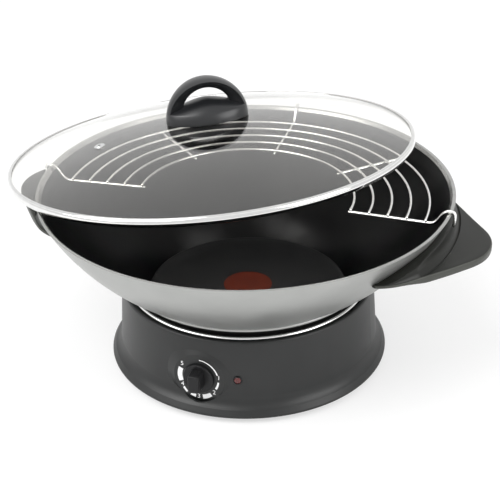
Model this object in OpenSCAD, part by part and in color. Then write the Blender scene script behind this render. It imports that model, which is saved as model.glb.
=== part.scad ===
// Electric wok: a round pan with two side handles, lifted out of a heated base,
// a half-round draining rack hooked over its rim and a glass lid laid ajar on it.
// The axis of the base and pan is Z, the table is z = 0, and the control knob faces -Y.

/* [Bowl] */
// Outer radius of the bowl at its rim
rim_r = 181.2; // [178:0.1:184]
// Height of the rim above the housing's top edge
rim_rise = 88.7; // [86:0.1:92]
// Height of the bowl from its flat underside to its rim
bowl_depth = 103.2; // [100:0.1:106]
// Radius of the round outer side of the bowl, as a share of its rim radius
bowl_roundness = 1.1258; // [1.12:0.0001:1.15]
// Thickness of the bowl's side
bowl_wall = 3.2; // [2.6:0.1:3.8]
// How far the flat underside is set in from the corner of the well under the bowl
foot_inset = 17; // [16:0.5:20]
// How far the flat floor is set in from the edge of the underside
floor_inset = 3.5; // [3:0.25:6]
// Thickness of the flat floor
floor_t = 5; // [4:0.25:6]

/* [Side handles] */
// Reach of a side handle beyond the rim
handle_out = 34.8; // [31:0.2:42]
// Radius of a side handle's rounded end
handle_end_r = 46; // [42:0.5:50]
// Thickness of a side handle's plate
handle_t = 7; // [6:0.25:9]
// Height of a side handle's flat top below the rim
handle_drop = 23.2; // [22:0.2:26]
// Height of the raised collar above the plate
collar_h = 10.2; // [8:0.2:11]
// How far the collar stands out beyond the rim where it meets the plate
collar_out = 3.8; // [2:0.2:6]

/* [Base] */
// Radius of the housing wall above the flare
waist_r = 116.6; // [110:0.1:122]
// How far the foot flange stands out from the wall
flare_out = 9; // [8:0.2:11]
// How far the wall draws in towards its top
wall_taper = 3; // [2:0.1:4]
// Space from the housing's outer top edge to the bowl's well
well_gap = 4.6; // [4.2:0.1:5.5]
// Height of the housing's top edge
crown_z = 74.5; // [73.5:0.1:75]
// Wall of the housing
shell_t = 2.5; // [2:0.1:3]
// Thickness of the bottom plate
plate_t = 3.1; // [2.6:0.1:4]
// Gap under the bottom plate, which the feet stand in
foot_gap = 1.5; // [1:0.1:1.8]
// Radius of a rubber foot
foot_pad_r = 8.5; // [7:0.25:10]
// Height of the bright trim ring
trim_h = 3.7; // [3:0.1:4]

/* [Heater] */
// How far the heating element's ring is set in from the edge of the bowl's underside
element_inset = 22; // [16:0.5:30]
// Radius of the heating element's tube
element_tube_r = 4; // [3.25:0.25:4.5]
// Depth of the reflector pan below the top of the element
pan_drop = 13; // [12:0.25:14]

/* [Control knob] */
// Radius of the control knob
knob_r = 13.8; // [12:0.2:15]
// Thickness of the knob's round skirt
knob_skirt_t = 2.5; // [2:0.1:4]
// Height of the knob's grip bar over the skirt
grip_h = 10.9; // [8:0.1:12]
// Width of the grip bar
grip_w = 10.8; // [8:0.2:12]
// Height of the knob's centre above the table
knob_z = 36.8; // [35:0.2:39]
// Sideways place of the knob's centre, from the middle of the front
knob_x = -3.3; // [-5:0.1:3]
// Radius of the thermostat's shaft
shaft_r = 3; // [2.5:0.25:3.5]
// Radius of the flat boss that carries the printed scale
boss_r = 22.6; // [21:0.2:24]

/* [Pilot lamp and cord gland] */
// Radius of the pilot lamp's lens
lens_r = 4; // [3.5:0.1:5]
// Angle of the pilot lamp round the base, from +X
lamp_angle = -75; // [-77:0.5:-70]
// Radius of the cord gland's bore
gland_bore_r = 3.7; // [3:0.1:4.2]
// Height of the cord gland above the table
gland_z = 20; // [18:0.25:22]

/* [Draining rack] */
// How far the rack's outermost arc is set in from the rim
rack_inset = 21.7; // [20.5:0.1:26]
// Width of the band of arcs
rack_width = 65; // [60:0.5:70]
// Number of arcs
rack_arcs_n = 5; // [3:1:7]
// Radius of the arcs' wire
arc_wire_r = 1.25; // [1:0.05:1.5]
// Radius of the straight wires and hooks
spoke_wire_r = 1.5; // [1.25:0.05:1.75]
// Height of the straight wires below the rim
rack_drop = 11.4; // [9:0.2:16]
// Angle of the first hook, round from the right handle
rack_start = 0.5; // [-3:0.5:4]
// Angle between the two end hooks
rack_span = 185.5; // [181:0.5:189]

/* [Lid] */
// How far the lid's rim band stands out beyond the bowl's rim
lid_over = 5.3; // [4.6:0.1:5.5]
// Height of the glass dome from its edge to its top
dome_h = 28.2; // [27.6:0.1:30]
// Thickness of the glass
glass_t = 3.4; // [3:0.1:3.8]
// Height of the rim band
band_h = 7.6; // [6:0.1:7.6]
// Thickness of the rim band's sheet
band_t = 0.8; // [0.5:0.05:1.2]
// Lean of the lid as it lies ajar
lid_tilt = 8.31; // [8.2:0.01:8.4]

/* [Lid knob] */
// Half the length of the lid knob
lid_knob_a = 37.8; // [34:0.2:41]
// Half the width of the lid knob's foot
lid_knob_b = 23.5; // [20:0.5:28]
// Height of the lid knob over the glass
lid_knob_h = 39; // [37:0.5:43]
// Half the width of the finger opening
finger_w = 20.5; // [18:0.5:22]
// Half the depth of the loop, from front to back
loop_b = 12.5; // [10:0.5:15]
// Thickness of the loop at its top
loop_t = 8.8; // [7:0.2:10]

/* [Hidden] */

$fn = 96;

// clearances
seat_gap = 0.3;      // between parts of different moving groups that rest on each other
slip = 0.1;          // a plain part in its hole
shaft_play = 0.05;   // the shaft in its bush

// colours
black_plastic = "#3b3c3d";
handle_black = "#46463f";
bright_steel = "#d9dadb";
dull_steel = "#a7a9ac";
bowl_grey = "#9c9d99";

// radii and heights that follow from one another
crown_r = waist_r - wall_taper;
flange_r = waist_r + flare_out;
well_r = crown_r - well_gap;
foot_r = well_r - foot_inset;
floor_r = foot_r - floor_inset;
rim_z = crown_z + rim_rise;
element_r = foot_r - element_inset;
rack_outer_r = rim_r - rack_inset;
rack_inner_r = rack_outer_r - rack_width;
lid_r = rim_r + lid_over;

// bowl, worked out
bowl_curve_r = rim_r * bowl_roundness;
bowl_zc = rim_z + sqrt(pow(bowl_curve_r, 2) - pow(rim_r, 2));
inner_curve_r = bowl_curve_r - bowl_wall;
well_corner_z = bowl_zc - sqrt(pow(bowl_curve_r, 2) - pow(well_r, 2));
foot_z = rim_z - bowl_depth;
floor_z = foot_z + floor_t;
well_low_r = foot_r + 4;
well_low_z = foot_z + 3;

// element and pan hang under the bowl's flat underside
element_top = foot_z - seat_gap;
element_z = element_top - element_tube_r;
pan_floor_z = element_top - pan_drop;
pan_t = 0.8;
element_gap = 14;    // half the angle left open at the back of the element
leg_r = element_tube_r + 0.4;

// base, worked out
plate_z = foot_gap;
plate_top = plate_z + plate_t;
shell_z = plate_top + 0.3;
flare_z = 24;        // where the flare meets the upright wall
flange_top = shell_z + 7.1;
crease_r = waist_r + flare_out * 2 / 3;
shelf_z = crown_z - 3;
trim_z = shelf_z + pan_t;
trim_r = crown_r - 5;
trim_in_r = well_r_at(trim_z + trim_h) + 1;
screw_r = waist_r - 7.1;
screw_turns = [45, 135, 225, 315];
foot_turns = [0, 90, 180, 270];
foot_ring_r = waist_r - 12.6;

// side handles, worked out
handle_reach = rim_r + handle_out;
collar_r = rim_r + collar_out;
outline_rim_r = 181.2;   // rim radius that the points of the outline below belong to
outline_k = rim_r / outline_rim_r;
handle_z = rim_z - handle_drop;
handle_low = handle_z - handle_t;
handle_turn = 38.8;  // half the angle of the rounded end
handle_side = [[172, 71], [158.5, 86], [148, 92.8], [141.5, 94.5], [132, 92]];
collar_flat = 44 * outline_k;    // half the length over which the collar keeps its height
collar_end = 93 * outline_k;     // half the length at which it meets the plate
collar_in_r = rim_r - 31.2;      // inside the bowl's wall, where the bowl cuts the collar off
bracket_w = 24;
bracket_z = handle_low + 3;
bracket_top = handle_z + 1;
bracket_r = rim_r - 4.2;
handle_screw_r = bracket_r - 5;
handle_screw_shank = 2;

// rack, worked out
spoke_z = rim_z - rack_drop;
hook_z = rim_z + spoke_wire_r + seat_gap;
arc_z = spoke_z + spoke_wire_r + arc_wire_r - 0.3;
spoke_turn = rack_span / 4;
crest_r = rim_r - 1.2;
hook_out_r = rim_r + spoke_wire_r + 0.7;

// lid, worked out
lid_lean_turn = 143.9;               // direction in which the lid leans
lid_pos = [-0.298 * rim_r, 0.314 * rim_r, rim_z + 2.9];  // centre of the lid's edge
edge_top = 1.8;                      // top of the glass at its edge, in the lid's own frame
band_low = -4.2;
glass_r = lid_r - 1.1;
dome_curve_r = (pow(glass_r, 2) + pow(dome_h, 2)) / (2 * dome_h);
glass_top = edge_top + dome_h;
knob_turn = 31;                      // the knob's long way, from +X
knob_hole_r = 4.5;
vent_at = [-82.1, -59.4];
vent_r = 3.2;

// knob and thermostat, worked out
boss_y = 0.6 - waist_r;
knob_back_y = boss_y - 0.6;
thermo_front_y = boss_y + 6.5;
thermo_back_y = boss_y + 30;
gland_y = waist_r + 3.4;
block_y = gland_y - 42;
tab_z = knob_z - 5.6;  // middle of the thermostat's tabs
lead_gap = 0.8;      // from a wire's cut end to what it is fixed to
gland_hole_r = gland_bore_r + 2.8;
lamp_z = knob_z + 1.5;
lens_wall_r = wall_r_at(lamp_z) + 0.2;
lamp_r = lens_wall_r - 20.2;

function arc(cx, cy, r, a0, a1, n) =
  [for (i = [0:n]) let (a = a0 + (a1 - a0) * i / n) [cx + r * cos(a), cy + r * sin(a)]];
function bezier(p, n) =
  [for (i = [0:n]) let (t = i / n, s = 1 - t)
    s * s * s * p[0] + 3 * s * s * t * p[1] + 3 * s * t * t * p[2] + t * t * t * p[3]];
function flip(points) = [for (i = [len(points) - 1:-1:0]) points[i]];
function unit(v) = v / norm(v);
function dir(a) = [cos(a), sin(a)];

// radius of the well's sloping side at height z
function well_r_at(z) =
  well_low_r + (z - well_low_z) * (well_r - well_low_r) / (well_corner_z - well_low_z);
// height of the outside of the lid's glass at radius r, in the lid's own frame
function glass_z(r) = glass_top - dome_curve_r + sqrt(pow(dome_curve_r, 2) - r * r);
// radius of the housing's upright wall at height z
function wall_r_at(z) = waist_r - (waist_r - crown_r) * (z - flare_z) / (crown_z - 3.5 - flare_z);

// closes a stack of equal rings of points into one solid; rings turn left-handed going up
module skin(rings) {
  n = len(rings[0]);
  m = len(rings);
  polyhedron(
    [for (r = rings) each r],
    concat(
      [[for (k = [0:n - 1]) k]],
      [[for (k = [n - 1:-1:0]) (m - 1) * n + k]],
      [for (i = [0:m - 2], k = [0:n - 1])
        let (a = i * n + k, b = i * n + (k + 1) % n) each [[a, a + n, b], [b, a + n, b + n]]]
    )
  );
}

// round tube of radius r along a list of points, its sides kept level with ref
module tube(path, r, n, ref = [0, 0, 1]) {
  m = len(path);
  skin([for (i = [0:m - 1])
    let (t = unit(path[min(i + 1, m - 1)] - path[max(i - 1, 0)]),
         a = unit(cross(t, ref)), b = cross(t, a))
    [for (k = [0:n - 1]) path[i] + r * (cos(360 * k / n) * a + sin(360 * k / n) * b)]]);
}

// everything outside the bowl's round side, grown by a gap
module bowl_ball(gap) {
  translate([0, 0, bowl_zc])
    rotate(90)
      sphere(bowl_curve_r + gap, $fn = 240);
}

module in_lid_frame() {
  translate(lid_pos)
    rotate([0, 0, lid_lean_turn])
      rotate([0, lid_tilt, 0])
        rotate([0, 0, -lid_lean_turn])
          children();
}

module at_front(z) {
  translate([knob_x, 0, z])
    rotate([90, 0, 0])
      children();
}

// ---------- base ----------

function flare_outer() =
  let (rc = (pow(crease_r - waist_r, 2) + pow(flare_z - flange_top, 2))
       / (2 * (crease_r - waist_r)))
  [for (i = [0:10])
    let (a = 180 + asin((flare_z - flange_top) / rc) * (1 - i / 10))
    [waist_r + rc + rc * cos(a), flare_z + rc * sin(a)]];

module base_shell() {
  outer = concat(
    [[flange_r - 2.7, shell_z]],
    arc(flange_r - 1.9, shell_z + 2, 1.9, -70, 30, 6),
    flare_outer(),
    [[crown_r, crown_z - 3.5]],
    arc(crown_r - 2.6, crown_z - 2.5, 2.5, 0, 90, 6)
  );
  inner = [
    [trim_r + 0.8, crown_z], [trim_r + 0.8, shelf_z], [trim_r - 4.4, shelf_z],
    [trim_r - 4.4, shelf_z - 2.2], [crown_r - shell_t - 0.4, shelf_z - 2.2],
    [waist_r - shell_t, flare_z], [waist_r - shell_t + 0.9, flare_z - 5],
    [waist_r - shell_t + 3.4, flange_top + 2.4], [flange_r - 5.9, flange_top - 0.8],
    [flange_r - shell_t - 2.6, shell_z]
  ];
  rotate_extrude()
    polygon(concat(outer, inner));
}

module base_housing() {
  color(black_plastic)
    difference() {
      union() {
        difference() {
          base_shell();
          // flat faces for the scale and the gland, cut into the flare
          at_front(knob_z)
            translate([0, 0, -boss_y])
              cylinder(r = boss_r, h = 20);
          translate([0, gland_y, gland_z])
            rotate([-90, 0, 0])
              cylinder(r = gland_hole_r + 4, h = 20);
        }
        // boss for the scale, backed by the wall, its edge sloping back into it
        at_front(knob_z)
          translate([0, 0, -boss_y - shell_t - 2.4])
            difference() {
              cylinder(r1 = boss_r + 8, r2 = boss_r, h = shell_t + 2.4);
              translate([0, 0, -1])
                cylinder(r = boss_r - 2, h = 3.4);
            }
        // pad for the cord gland
        translate([0, gland_y - 7, gland_z])
          rotate([-90, 0, 0])
            cylinder(r = gland_hole_r + 4, h = 7);
        // screw bosses
        for (a = screw_turns)
          rotate(a)
            translate([screw_r, 0, plate_top]) {
              cylinder(r = 5, h = 35);
              translate([2, -1.25, 0.3])
                cube([5.2, 2.5, 14]);
            }
      }
      // shaft hole
      at_front(knob_z)
        cylinder(r = shaft_r + 1.2, h = 130);
      // lamp hole
      rotate(lamp_angle)
        translate([lamp_r, 0, lamp_z])
          rotate([0, 90, 0])
            cylinder(r = lens_r - 0.7, h = 34);
      // gland hole
      translate([0, gland_y - 20, gland_z])
        rotate([-90, 0, 0])
          cylinder(r = gland_hole_r + slip, h = 40);
      for (a = screw_turns)
        rotate(a)
          translate([screw_r, 0, plate_top - 1])
            cylinder(r = 1.7, h = 24);
    }
}

module bottom_plate() {
  color("#2e2f30")
    difference() {
      rotate_extrude()
        polygon([
          [0, plate_z], [flange_r - 8.2, plate_z], [flange_r - 3.6, plate_top - 0.4],
          [flange_r - 3.6, plate_top], [0, plate_top]
        ]);
      for (a = foot_turns)
        rotate(a)
          translate([foot_ring_r, 0, 0])
            cylinder(r = foot_pad_r + 0.5, h = foot_gap + 1.5);
      for (a = screw_turns)
        rotate(a)
          translate([screw_r, 0, 0]) {
            cylinder(r = 4.4, h = plate_z + 1.4);
            cylinder(r = 1.8, h = plate_top + 1);
          }
      // vent slots
      for (a = [15:30:345])
        rotate(a)
          translate([46, -1.5, 0])
            cube([26, 3, plate_top + 1]);
    }
}

module base_feet() {
  color("#1c1c1c")
    for (a = foot_turns)
      rotate(a)
        translate([foot_ring_r, 0, 0])
          rotate_extrude()
            polygon([
              [0, 0], [foot_pad_r - 1, 0], [foot_pad_r, 1], [foot_pad_r, foot_gap + 1.5],
              [0, foot_gap + 1.5]
            ]);
}

module base_screws() {
  color(dull_steel)
    for (a = screw_turns)
      rotate(a)
        translate([screw_r, 0, plate_z + 0.2])
          difference() {
            union() {
              cylinder(r = 3.9, h = 1.2);
              cylinder(r = 1.6, h = 20);
            }
            // cross slot
            translate([-2.2, -0.4, -0.1])
              cube([4.4, 0.8, 0.8]);
            translate([-0.4, -2.2, -0.1])
              cube([0.8, 4.4, 0.8]);
          }
}

module trim_ring() {
  color(bright_steel)
    rotate_extrude()
      polygon(concat(
        [[trim_in_r, trim_z], [trim_r, trim_z]],
        arc(trim_r - 1.5, trim_z + trim_h - 1.5, 1.5, 0, 90, 6),
        arc(trim_in_r + 0.6, trim_z + trim_h - 0.6, 0.6, 90, 180, 3)
      ));
}

module reflector_pan() {
  color(bright_steel)
    difference() {
      rotate_extrude()
        polygon([
          [trim_r + 0.3, shelf_z], [trim_r + 0.3, shelf_z + pan_t], [trim_in_r - 2.6, shelf_z + pan_t],
          [trim_in_r - 4.9, foot_z + 4], [foot_r + 3, pan_floor_z + pan_t], [0, pan_floor_z + pan_t],
          [0, pan_floor_z], [foot_r + 3.6, pan_floor_z], [trim_in_r - 4, foot_z + 4],
          [trim_in_r - 2, shelf_z]
        ]);
      cylinder(r = 14, h = 80);
      for (s = [-1, 1])
        rotate(90 + s * element_gap)
          translate([element_r, 0, 0])
            cylinder(r = 7, h = 80);
    }
}

// ---------- heater ----------

module heating_element() {
  color("#6d6a68") {
    rotate(90 + element_gap)
      rotate_extrude(angle = 360 - 2 * element_gap)
        translate([element_r, element_z])
          circle(element_tube_r);
    // legs, each with a flat top that the end of the ring runs into
    for (s = [-1, 1])
      rotate(90 + s * element_gap)
        translate([element_r, 0, pan_floor_z - 8])
          cylinder(r = leg_r, h = element_top - 0.4 - pan_floor_z + 8);
  }
}

module element_brackets() {
  color(dull_steel)
    for (a = [-90, 20, 160])
      rotate(a)
        translate([element_r, 0, pan_floor_z + pan_t]) {
          translate([-7, -5, 0])
            cube([14, 10, element_z - element_tube_r - pan_floor_z - pan_t - slip]);
          for (s = [-1, 1])
            translate([s * (element_tube_r + 1.6) - 1, -5, 0])
              cube([2, 10, element_z - pan_floor_z - pan_t]);
        }
}

module element_bushes() {
  color("#ece8dd")
    for (s = [-1, 1])
      rotate(90 + s * element_gap)
        translate([element_r, 0, pan_floor_z - 4])
          difference() {
            union() {
              cylinder(r = 6.8, h = 6);
              cylinder(r = 9, h = 4);
            }
            translate([0, 0, -1])
              cylinder(r = leg_r + slip, h = 10);
          }
}

module element_terminals() {
  color("#b9a66a")
    for (s = [-1, 1])
      rotate(90 + s * element_gap)
        translate([element_r, 0, pan_floor_z - 18]) {
          translate([0, 0, 6])
            cylinder(r = 2, h = 4);
          translate([-3.15, -0.5, 0])
            cube([6.3, 1, 6.5]);
        }
}

module sensor_cup() {
  color(dull_steel) {
    translate([0, 0, element_top - 2.5])
      cylinder(r = 10, h = 2.5);
    translate([0, 0, pan_floor_z - 5])
      cylinder(r = 3, h = element_top - pan_floor_z + 4);
  }
}

module sensor_spring() {
  turns = 4.5;
  low = pan_floor_z + pan_t + 1.9;
  high = element_top - 3.4;
  color(dull_steel)
    tube([for (i = [0:54])
      let (a = 360 * turns * i / 54)
      [6 * cos(a), 6 * sin(a), low + (high - low) * i / 54]], 0.6, 6);
}

module sensor_holder() {
  color(dull_steel)
    translate([0, 0, pan_floor_z + pan_t])
      difference() {
        cylinder(r = 20, h = 1);
        translate([0, 0, -1])
          cylinder(r = 3 + slip, h = 3);
      }
}

module capillary_tube() {
  color("#b87333")
    tube([
      [0, -3, pan_floor_z - 5.8], [0, 0, pan_floor_z - 6.2], [6, 4, pan_floor_z - 8],
      [16, 0, pan_floor_z - 11], [20, -20, 30], [18, -48, 24], [12, -68, 22], [8, -78, 24],
      [knob_x + 7, thermo_back_y + 1, knob_z - 10]
    ], 0.8, 8);
}

module thermal_fuse() {
  color("#c8c4b8")
    translate([26, 40, pan_floor_z - 3.8])
      rotate([0, 90, 0])
        cylinder(r = 3.5, h = 22);
}

module fuse_clip() {
  color(dull_steel)
    translate([32, 40, pan_floor_z - 8.4])
      difference() {
        translate([0, -5.2, 0])
          cube([8, 10.4, 8.4]);
        translate([-1, 0, 4.6])
          rotate([0, 90, 0])
            cylinder(r = 3.5 + slip, h = 10);
        translate([-1, -3.6, 4.6])
          cube([10, 7.2, 6]);
      }
}

// ---------- thermostat and wiring ----------

module thermostat_body() {
  color("#d8d2c0")
    difference() {
      union() {
        translate([knob_x - 13, thermo_front_y, knob_z - 13])
          cube([26, thermo_back_y - thermo_front_y, 19.5]);
        at_front(knob_z)
          translate([0, 0, -thermo_front_y])
            cylinder(r = shaft_r + 2, h = 3);
        for (s = [-1, 1])
          translate([knob_x + s * 8 - 3.15, thermo_back_y, tab_z - 0.4])
            cube([6.3, 6, 0.8]);
      }
      at_front(knob_z)
        translate([0, 0, -thermo_front_y - 12])
          cylinder(r = shaft_r + shaft_play, h = 20);
    }
}

module thermostat_bracket() {
  color(dull_steel)
    difference() {
      union() {
        translate([knob_x - 14, thermo_front_y - 1.5, plate_top])
          cube([28, 1.5, knob_z + 7 - plate_top]);
        translate([knob_x - 14, thermo_front_y, plate_top])
          cube([28, 14, 1.5]);
      }
      at_front(knob_z)
        cylinder(r = shaft_r + 2 + slip, h = 130);
    }
}

module thermostat_nut() {
  color("#b9a66a")
    at_front(knob_z)
      translate([0, 0, 1.5 - thermo_front_y])
        difference() {
          cylinder(r = shaft_r + 4, h = 1.5, $fn = 6);
          translate([0, 0, -1])
            cylinder(r = shaft_r + 2 + slip, h = 4);
        }
}

module terminal_block() {
  color("#e9e4d4")
    difference() {
      translate([-17, block_y, plate_top])
        cube([34, 12, 12]);
      for (x = [-11, 0, 11])
        translate([x, block_y + 6, plate_top + 5])
          cylinder(r = 2, h = 10);
    }
}

module live_lead() {
  color("#7a4a24")
    tube([
      [-11, block_y - lead_gap, 12], [-14, 68, 12], [-40, 50, 13], [-72, 20, 14], [-78, -20, 14], [-60, -54, 18],
      [-34, -66, 24], [-20, -70, 29], [knob_x - 8.6, thermo_back_y + 11, tab_z - 0.4],
      [knob_x - 8, thermo_back_y + 6 + lead_gap, tab_z]
    ], 1.4, 8);
}

module switched_lead() {
  color("#2c2c2c")
    tube([
      [knob_x + 8, thermo_back_y + 6 + lead_gap, tab_z], [knob_x + 8.6, thermo_back_y + 11, tab_z - 0.4],
      [18, -70, 29.5], [50, -60, 20], [78, -24, 13], [76, 24, 12], [50, 54, 14], [26, 62, 20], element_tail(-1)
    ], 1.4, 8);
}

module neutral_lead() {
  color("#3a6ea8")
    tube([
      [0, block_y - lead_gap, 12], [-3, 70, 12], [-12, 62, 14], [-17, 62, 20], element_tail(1)
    ], 1.4, 8);
}

// point just under a terminal tab of the element; side is -1 or 1
function element_tail(side) =
  let (a = 90 + side * element_gap)
  [element_r * cos(a), element_r * sin(a), pan_floor_z - 18 - lead_gap];

module earth_lead() {
  color("#6f9a3c")
    tube([
      [11, block_y - lead_gap, 12], [14, 66, 12], [22, 40, 16], [10, 20, 24], [5, 12, 36],
      [2, 4.2, pan_floor_z - 3]
    ], 1.4, 8);
}

module lamp_leads() {
  lamp = lamp_r * dir(lamp_angle);
  color("#2c2c2c")
    for (s = [-1, 1])
      tube([
        [lamp[0] + s * 1.2, lamp[1] + 1.6, lamp_z], [lamp[0] + s * 3, lamp[1] + 12, lamp_z - 7],
        [lamp[0] + s * 3 - 2, lamp[1] + 24, 19], [44 + s * 2.5, -50, 12], [56 + s * 2.5, -20, 10],
        [52 + s * 2.5, 20, 9], [34 + s * 2.5, 60, 9], [20 + s * 1, 84, 12]
      ], 0.9, 6);
}

module lamp_lens() {
  color("#a31616")
    rotate(lamp_angle)
      translate([0, 0, lamp_z])
        rotate([0, 90, 0])
          rotate_extrude()
            polygon(concat(
              [[0, lens_wall_r - 6], [lens_r - 0.8, lens_wall_r - 6], [lens_r - 0.8, lens_wall_r + 0.2],
               [lens_r, lens_wall_r + 0.2]],
              arc(0, lens_wall_r + 1.2, lens_r, 0, 90, 8) * [[1, 0], [0, 0.4]]
                + [for (i = [0:8]) [0, 0.6 * (lens_wall_r + 1.2)]]
            ));
}

module neon_lamp() {
  color("#e8c9a8")
    rotate(lamp_angle)
      translate([lamp_r, 0, lamp_z])
        rotate([0, 90, 0])
          cylinder(r = 2.8, h = lens_wall_r - 6.2 - lamp_r);
}

module cord_gland() {
  color("#242424")
    translate([0, gland_y, gland_z])
      rotate([-90, 0, 0])
        difference() {
          union() {
            translate([0, 0, -12])
              cylinder(r = gland_hole_r, h = 12);
            cylinder(r = gland_hole_r + 2.6, h = 2.4);
            translate([0, 0, 2.4])
              rotate_extrude()
                polygon([
                  [0, 0], [gland_hole_r + 1.2, 0], [gland_hole_r - 0.6, 4.4], [0, 4.4]
                ]);
          }
          translate([0, 0, -13])
            cylinder(r = gland_bore_r, h = 30);
        }
}

module gland_nut() {
  color("#242424")
    translate([0, gland_y - 11, gland_z])
      rotate([-90, 0, 0])
        difference() {
          cylinder(r = gland_hole_r + 3.6, h = 4, $fn = 6);
          translate([0, 0, -1])
            cylinder(r = gland_hole_r + slip, h = 8);
        }
}

// ---------- control knob ----------

module control_knob() {
  grip_round = 2.5;
  grip_x = grip_w / 2 - grip_round;
  grip_top = knob_r - 4.2 - grip_round;
  grip_low = grip_round + 6.1 - knob_r;
  color("#2f2f30")
    at_front(knob_z)
      translate([0, 0, -knob_back_y])
        difference() {
          union() {
            rotate_extrude()
              polygon(concat(
                [[0, 0], [knob_r, 0]],
                arc(knob_r - 0.9, knob_skirt_t - 0.9, 0.9, 0, 90, 4),
                [[0, knob_skirt_t]]
              ));
            // grip bar with rounded corners
            linear_extrude(knob_skirt_t + grip_h)
              polygon(concat(
                arc(grip_x, grip_top, grip_round, 0, 90, 5), arc(-grip_x, grip_top, grip_round, 90, 180, 5),
                arc(-grip_x, grip_low, grip_round, 180, 270, 5), arc(grip_x, grip_low, grip_round, 270, 360, 5)
              ));
          }
          translate([0, 0, -1])
            cylinder(r = shaft_r + slip, h = 1 + knob_skirt_t + grip_h - 2);
          // pointer notch in the skirt
          translate([-0.5, knob_r - 2.5, knob_skirt_t - 0.6])
            cube([1, 4, 2]);
        }
}

module thermostat_shaft() {
  color("#b9a66a")
    at_front(knob_z)
      translate([0, 0, -thermo_front_y - 11])
        cylinder(r = shaft_r, h = 11 + thermo_front_y - knob_back_y + knob_skirt_t + grip_h - 3);
}

module knob_clip() {
  color(dull_steel)
    at_front(knob_z)
      translate([0, 0, 0.1 - boss_y])
        difference() {
          cylinder(r = shaft_r + 0.9, h = 0.4);
          translate([0, 0, -1])
            cylinder(r = shaft_r + 0.02, h = 3);
        }
}

// ---------- bowl and its handles ----------

module wok_bowl() {
  a_low = asin(well_r / bowl_curve_r);
  a_rim = asin(rim_r / bowl_curve_r);
  inner_r = well_r + 5;
  a_in = asin(inner_r / inner_curve_r);
  a_in_rim = a_rim - 0.55;
  inner_z = bowl_zc - inner_curve_r * cos(a_in);
  outer = [for (i = [0:18])
    let (a = a_low + (a_rim - a_low) * i / 18)
    [bowl_curve_r * sin(a), bowl_zc - bowl_curve_r * cos(a)]];
  lip = [[rim_r - 0.6, rim_z + 0.05], [rim_r - 1.4, rim_z + 0.35], [rim_r - 2.2, rim_z + 0.05]];
  inner = [for (i = [16:-1:0])
    let (a = a_in + (a_in_rim - a_in) * i / 16)
    [inner_curve_r * sin(a), bowl_zc - inner_curve_r * cos(a)]];
  turn = bezier([
    [inner_r, inner_z], [inner_r, inner_z] - 11 * dir(a_in),
    [floor_r, floor_z] + 11 * dir(56), [floor_r, floor_z]
  ], 9);
  color(bowl_grey)
    rotate_extrude($fn = 120)
      polygon(concat(
        [[0, foot_z], [foot_r, foot_z]],
        arc(foot_r + 0.2, foot_z + 3.6, 3.6, -80, -20, 3),
        [[well_low_r, well_low_z]],
        outer, lip, inner,
        [for (i = [1:9]) turn[i]],
        [[0, floor_z]]
      ));
}

function handle_half() = concat(
  arc(handle_reach - handle_end_r, 0, handle_end_r, 0, handle_turn, 8),
  outline_k * handle_side
);

// the collar hugs the bowl, with a hollow outer face, and falls away towards its ends
module handle_collar(outline) {
  intersection() {
    rotate([0, 0, -40])
      rotate_extrude(angle = 80)
        polygon(concat(
          [[collar_in_r, handle_low], [collar_r, handle_low]],
          bezier([
            [collar_r, handle_z], [collar_r - 2.5, handle_z + 1.6],
            [collar_r - 4, handle_z + 5], [collar_r - 4.6, handle_z + collar_h - 1]
          ], 6),
          [[collar_r - 6, handle_z + collar_h], [collar_in_r, handle_z + collar_h]]
        ));
    translate([0, 0, handle_low])
      linear_extrude(handle_t + collar_h + 1)
        polygon(outline);
    translate([handle_reach + 14, 0, 0])
      rotate([90, 0, -90])
        linear_extrude(handle_reach - 96)
          polygon([
            [-collar_end, handle_low - 1], [collar_end, handle_low - 1], [collar_end, handle_z],
            [collar_flat, handle_z + collar_h + 2], [-collar_flat, handle_z + collar_h + 2],
            [-collar_end, handle_z]
          ]);
  }
}

module handle() {
  half = handle_half();
  outline = concat([for (p = flip(half)) [p[0], -p[1]]], [for (i = [1:len(half) - 1]) half[i]]);
  difference() {
    union() {
      translate([0, 0, handle_low])
        linear_extrude(handle_t)
          polygon(outline);
      handle_collar(outline);
    }
    bowl_ball(seat_gap);
    // pocket for the bracket
    translate([collar_in_r - 10, -bracket_w / 2 - slip, bracket_z - slip])
      cube([bracket_r - collar_in_r + 10.2, bracket_w + 2 * slip, bracket_top - bracket_z + 2 * slip]);
    // screw hole and its head recess
    translate([handle_screw_r, 0, handle_low - 1])
      cylinder(r = handle_screw_shank + 0.2, h = handle_t);
    translate([handle_screw_r, 0, handle_low - 1])
      cylinder(r = 4, h = 2.4);
  }
}

module handle_right() {
  color(handle_black)
    handle();
}

module handle_left() {
  color(handle_black)
    rotate(180)
      handle();
}

module handle_brackets() {
  color(dull_steel)
    for (a = [0, 180])
      rotate(a)
        difference() {
          translate([collar_in_r, -bracket_w / 2, bracket_z])
            cube([bracket_r - collar_in_r, bracket_w, bracket_top - bracket_z]);
          bowl_ball(0.05);
          translate([handle_screw_r, 0, bracket_z - 1])
            cylinder(r = handle_screw_shank + slip, h = 20);
        }
}

module handle_screws() {
  color(dull_steel)
    for (a = [0, 180])
      rotate(a)
        translate([handle_screw_r, 0, handle_low])
          difference() {
            union() {
              translate([0, 0, 0.2])
                cylinder(r = 3.6, h = 1.2);
              translate([0, 0, 0.2])
                cylinder(r = handle_screw_shank, h = bracket_top - handle_low - 1);
            }
            translate([-2, -0.4, 0])
              cube([4, 0.8, 0.8]);
          }
}

// ---------- draining rack ----------

module rack_arcs() {
  step = (rack_outer_r - rack_inner_r) / (rack_arcs_n - 1);
  color(bright_steel)
    for (i = [0:rack_arcs_n - 1])
      rotate(rack_start - 0.4)
        rotate_extrude(angle = rack_span + 0.8)
          translate([rack_inner_r + i * step, arc_z])
            circle(arc_wire_r, $fn = 24);
}

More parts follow.
